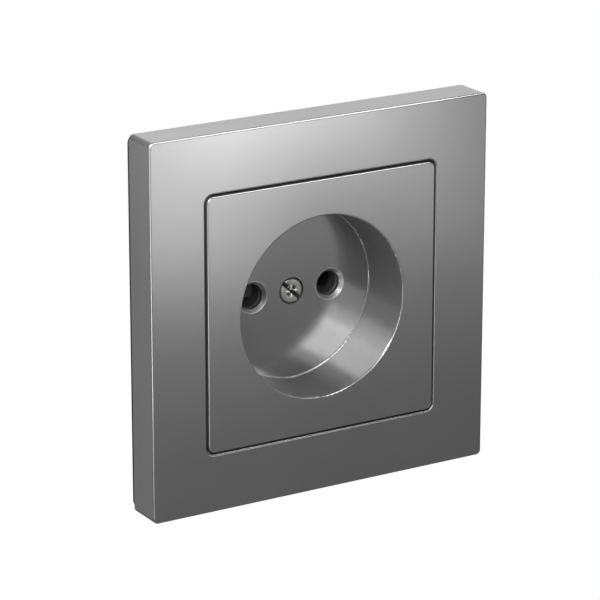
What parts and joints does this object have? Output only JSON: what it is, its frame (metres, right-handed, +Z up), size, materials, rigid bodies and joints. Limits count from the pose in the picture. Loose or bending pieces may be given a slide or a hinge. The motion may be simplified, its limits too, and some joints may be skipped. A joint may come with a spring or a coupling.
{
  "type": "ungrounded wall socket",
  "caption": "Square flush wall socket with no earth contact: satin grey cover frame and centre plate with a round plug well, on a housing with spreading claws.",
  "frame": {"origin": "the socket's middle on the wall's surface, which is the rear face of the support plate and of the cover frame's rim", "axes": "+X to the right as seen by the user, +Y into the wall, +Z up; the front faces -Y"},
  "size_m": [0.0812, 0.0352, 0.0812],
  "materials": {
    "cover_grey": "satin metallic-effect lacquer",
    "carrier_dark": "matt moulded",
    "base_grey": "fine spark-eroded texture",
    "plated_steel": "zinc plated",
    "zinc_sheet": "zinc plated sheet",
    "spring_steel": "blank spring steel",
    "contact_brass": "stamped, tin plated"
  },
  "bodies": {
    "socket": {"cover_frame": "cover_grey", "cover_plate": "cover_grey", "cover_screw": "plated_steel", "cover_nut": "plated_steel", "contact_carrier": "carrier_dark", "socket_base": "base_grey", "contact_left": "contact_brass", "contact_right": "contact_brass", "contact_spring_left": "spring_steel", "contact_spring_right": "spring_steel", "terminal_clamp_left": "plated_steel", "terminal_clamp_right": "plated_steel", "terminal_screw_left": "plated_steel", "terminal_screw_right": "plated_steel", "support_plate": "zinc_sheet", "plate_screws": "plated_steel", "claw_screw_left": "plated_steel", "claw_screw_right": "plated_steel"},
    "claw_left": {"claw_left": "zinc_sheet"},
    "claw_right": {"claw_right": "zinc_sheet"}
  },
  "joints": [
    {"name": "claw_left_swing", "type": "hinge", "parent": "socket", "child": "claw_left", "pos_m": [-0.0273, 0.0185, 0], "axis": [0, 0, -1], "range_deg": [0, 20]},
    {"name": "claw_right_swing", "type": "hinge", "parent": "socket", "child": "claw_right", "pos_m": [0.0273, 0.0185, 0], "axis": [0, 0, 1], "range_deg": [0, 20]}
  ]
}
